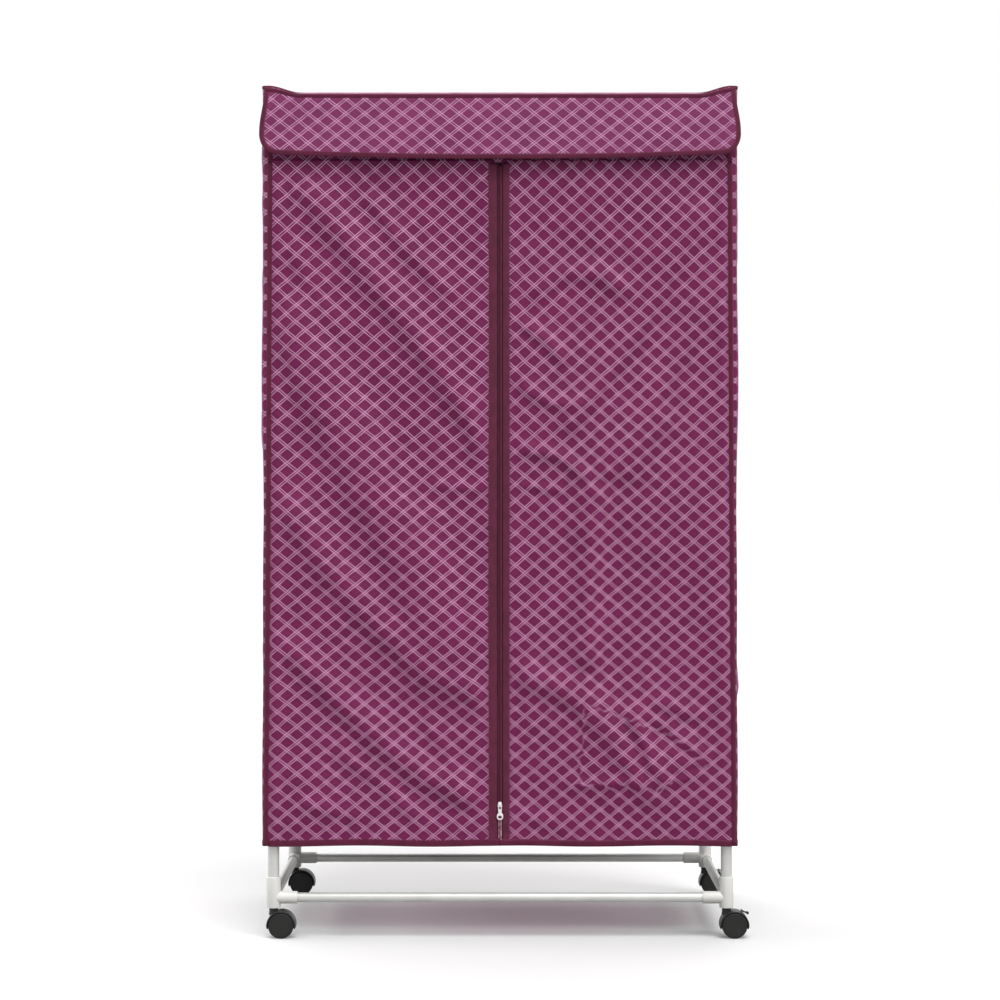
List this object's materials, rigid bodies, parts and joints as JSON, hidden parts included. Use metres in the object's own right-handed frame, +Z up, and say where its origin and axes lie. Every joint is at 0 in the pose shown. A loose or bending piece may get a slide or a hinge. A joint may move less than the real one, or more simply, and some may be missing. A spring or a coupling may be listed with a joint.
{
  "type": "portable clothes dryer",
  "caption": "Covered clothes dryer: a tube frame on casters, a wire tray with a warm air heater, and a fitted cloth cover with zipped doors and a front flap.",
  "frame": {"origin": "on the floor under the centre of the four posts", "axes": "+Z up, the doors face -Y, +X to the right as seen from the front"},
  "size_m": [0.8182, 0.4916, 1.4221],
  "materials": {
    "silver_tube": "light silver-grey coated steel tube, satin",
    "pale_grey_plastic": "pale warm grey moulded plastic",
    "tray_wire": "silver coated steel wire",
    "dark_grey_plastic": "dark grey moulded plastic",
    "wheel_plastic": "near-black hard plastic tread",
    "heater_white_plastic": "off-white moulded plastic",
    "heater_grey_plastic": "mid-grey moulded plastic",
    "motor_steel": "plain steel can",
    "element_alloy": "finned aluminium",
    "plum_check_cloth": "plum woven cloth with a lighter diagonal lattice check",
    "zip_metal": "plated zip metal"
  },
  "bodies": {
    "frame": {"post_front_left": "silver_tube", "post_front_right": "silver_tube", "post_rear_left": "silver_tube", "post_rear_right": "silver_tube", "base_connector_front_left": "pale_grey_plastic", "base_connector_front_right": "pale_grey_plastic", "base_connector_rear_left": "pale_grey_plastic", "base_connector_rear_right": "pale_grey_plastic", "mid_connector_front_left": "pale_grey_plastic", "mid_connector_front_right": "pale_grey_plastic", "mid_connector_rear_left": "pale_grey_plastic", "mid_connector_rear_right": "pale_grey_plastic", "top_connector_front_left": "pale_grey_plastic", "top_connector_front_right": "pale_grey_plastic", "top_connector_rear_left": "pale_grey_plastic", "top_connector_rear_right": "pale_grey_plastic", "base_rail_front": "silver_tube", "base_rail_rear": "silver_tube", "base_rail_left": "silver_tube", "base_rail_right": "silver_tube", "mid_rail_left": "silver_tube", "mid_rail_right": "silver_tube", "mid_hanging_bar": "silver_tube", "top_rail_front": "silver_tube", "top_rail_rear": "silver_tube", "top_rail_left": "silver_tube", "top_rail_right": "silver_tube", "top_hanging_bar": "silver_tube", "heater_tray": "tray_wire", "heater_base": "heater_white_plastic", "heater_shell": "heater_white_plastic", "heater_grille": "heater_grey_plastic", "heater_motor": "motor_steel", "heater_element": "element_alloy", "roof_panel": "plum_check_cloth", "back_panel": "plum_check_cloth", "side_panel_left": "plum_check_cloth", "side_panel_right": "plum_check_cloth", "header_panel": "plum_check_cloth"},
    "caster_front_left": {"caster_housing_front_left": "dark_grey_plastic"},
    "caster_wheel_near_front_left": {"caster_wheel_near_front_left": "wheel_plastic"},
    "caster_wheel_far_front_left": {"caster_wheel_far_front_left": "wheel_plastic"},
    "caster_front_right": {"caster_housing_front_right": "dark_grey_plastic"},
    "caster_wheel_near_front_right": {"caster_wheel_near_front_right": "wheel_plastic"},
    "caster_wheel_far_front_right": {"caster_wheel_far_front_right": "wheel_plastic"},
    "brake_lever_front_right": {"brake_lever_front_right": "dark_grey_plastic"},
    "caster_rear_left": {"caster_housing_rear_left": "dark_grey_plastic"},
    "caster_wheel_near_rear_left": {"caster_wheel_near_rear_left": "wheel_plastic"},
    "caster_wheel_far_rear_left": {"caster_wheel_far_rear_left": "wheel_plastic"},
    "caster_rear_right": {"caster_housing_rear_right": "dark_grey_plastic"},
    "caster_wheel_near_rear_right": {"caster_wheel_near_rear_right": "wheel_plastic"},
    "caster_wheel_far_rear_right": {"caster_wheel_far_rear_right": "wheel_plastic"},
    "brake_lever_rear_right": {"brake_lever_rear_right": "dark_grey_plastic"},
    "impeller": {"heater_impeller": "heater_grey_plastic"},
    "knob": {"timer_knob": "heater_white_plastic"},
    "door_left": {"door_left": "plum_check_cloth"},
    "door_right": {"door_right": "plum_check_cloth"},
    "flap": {"front_flap": "plum_check_cloth"},
    "slider": {"zip_slider": "zip_metal"},
    "pull": {"zip_pull": "zip_metal"}
  },
  "joints": [
    {"name": "caster_swivel_front_left", "type": "hinge", "parent": "frame", "child": "caster_front_left", "pos_m": [-0.38, -0.22, 0.0497], "axis": [0, 0, 1], "continuous": true},
    {"name": "wheel_spin_near_front_left", "type": "hinge", "parent": "caster_front_left", "child": "caster_wheel_near_front_left", "pos_m": [-0.367, -0.22995, 0.0213], "axis": [0, 1, 0], "continuous": true},
    {"name": "wheel_spin_far_front_left", "type": "hinge", "parent": "caster_front_left", "child": "caster_wheel_far_front_left", "pos_m": [-0.367, -0.21005, 0.0213], "axis": [0, 1, 0], "continuous": true},
    {"name": "caster_swivel_front_right", "type": "hinge", "parent": "frame", "child": "caster_front_right", "pos_m": [0.38, -0.22, 0.0497], "axis": [0, 0, 1], "continuous": true},
    {"name": "wheel_spin_near_front_right", "type": "hinge", "parent": "caster_front_right", "child": "caster_wheel_near_front_right", "pos_m": [0.393, -0.22995, 0.0213], "axis": [0, 1, 0], "continuous": true},
    {"name": "wheel_spin_far_front_right", "type": "hinge", "parent": "caster_front_right", "child": "caster_wheel_far_front_right", "pos_m": [0.393, -0.21005, 0.0213], "axis": [0, 1, 0], "continuous": true},
    {"name": "brake_press_front_right", "type": "hinge", "parent": "caster_front_right", "child": "brake_lever_front_right", "pos_m": [0.40561, -0.22, 0.04502], "axis": [0, 1, 0], "range_deg": [0, 18]},
    {"name": "caster_swivel_rear_left", "type": "hinge", "parent": "frame", "child": "caster_rear_left", "pos_m": [-0.38, 0.22, 0.0497], "axis": [0, 0, 1], "continuous": true},
    {"name": "wheel_spin_near_rear_left", "type": "hinge", "parent": "caster_rear_left", "child": "caster_wheel_near_rear_left", "pos_m": [-0.367, 0.21005, 0.0213], "axis": [0, 1, 0], "continuous": true},
    {"name": "wheel_spin_far_rear_left", "type": "hinge", "parent": "caster_rear_left", "child": "caster_wheel_far_rear_left", "pos_m": [-0.367, 0.22995, 0.0213], "axis": [0, 1, 0], "continuous": true},
    {"name": "caster_swivel_rear_right", "type": "hinge", "parent": "frame", "child": "caster_rear_right", "pos_m": [0.38, 0.22, 0.0497], "axis": [0, 0, 1], "continuous": true},
    {"name": "wheel_spin_near_rear_right", "type": "hinge", "parent": "caster_rear_right", "child": "caster_wheel_near_rear_right", "pos_m": [0.393, 0.21005, 0.0213], "axis": [0, 1, 0], "continuous": true},
    {"name": "wheel_spin_far_rear_right", "type": "hinge", "parent": "caster_rear_right", "child": "caster_wheel_far_rear_right", "pos_m": [0.393, 0.22995, 0.0213], "axis": [0, 1, 0], "continuous": true},
    {"name": "brake_press_rear_right", "type": "hinge", "parent": "caster_rear_right", "child": "brake_lever_rear_right", "pos_m": [0.40561, 0.22, 0.04502], "axis": [0, 1, 0], "range_deg": [0, 18]},
    {"name": "impeller_spin", "type": "hinge", "parent": "frame", "child": "impeller", "pos_m": [0.2322, -0.09, 0.2719], "axis": [0, 0, 1], "continuous": true},
    {"name": "timer_turn", "type": "hinge", "parent": "frame", "child": "knob", "pos_m": [0.2322, -0.2153, 0.3441], "axis": [0, 1, 0], "range_deg": [0, 300]},
    {"name": "door_left_swing", "type": "hinge", "parent": "frame", "child": "door_left", "pos_m": [-0.3902, -0.2377, 0.1565], "axis": [-0.0049, 0, -1], "range_deg": [0, 120]},
    {"name": "door_right_swing", "type": "hinge", "parent": "frame", "child": "door_right", "pos_m": [0.3902, -0.2377, 0.1565], "axis": [-0.0049, 0, 1], "range_deg": [0, 120]},
    {"name": "flap_lift", "type": "hinge", "parent": "frame", "child": "flap", "pos_m": [0, -0.2389, 1.4123], "axis": [-1, 0, 0], "range_deg": [0, 165]},
    {"name": "zip_run", "type": "slide", "parent": "door_right", "child": "slider", "axis": [0, 0, 1], "range_m": [0, 1.0387]},
    {"name": "pull_lift", "type": "hinge", "parent": "slider", "child": "pull", "pos_m": [0, -0.24085, 0.2243], "axis": [-1, 0, 0], "range_deg": [0, 170]}
  ]
}
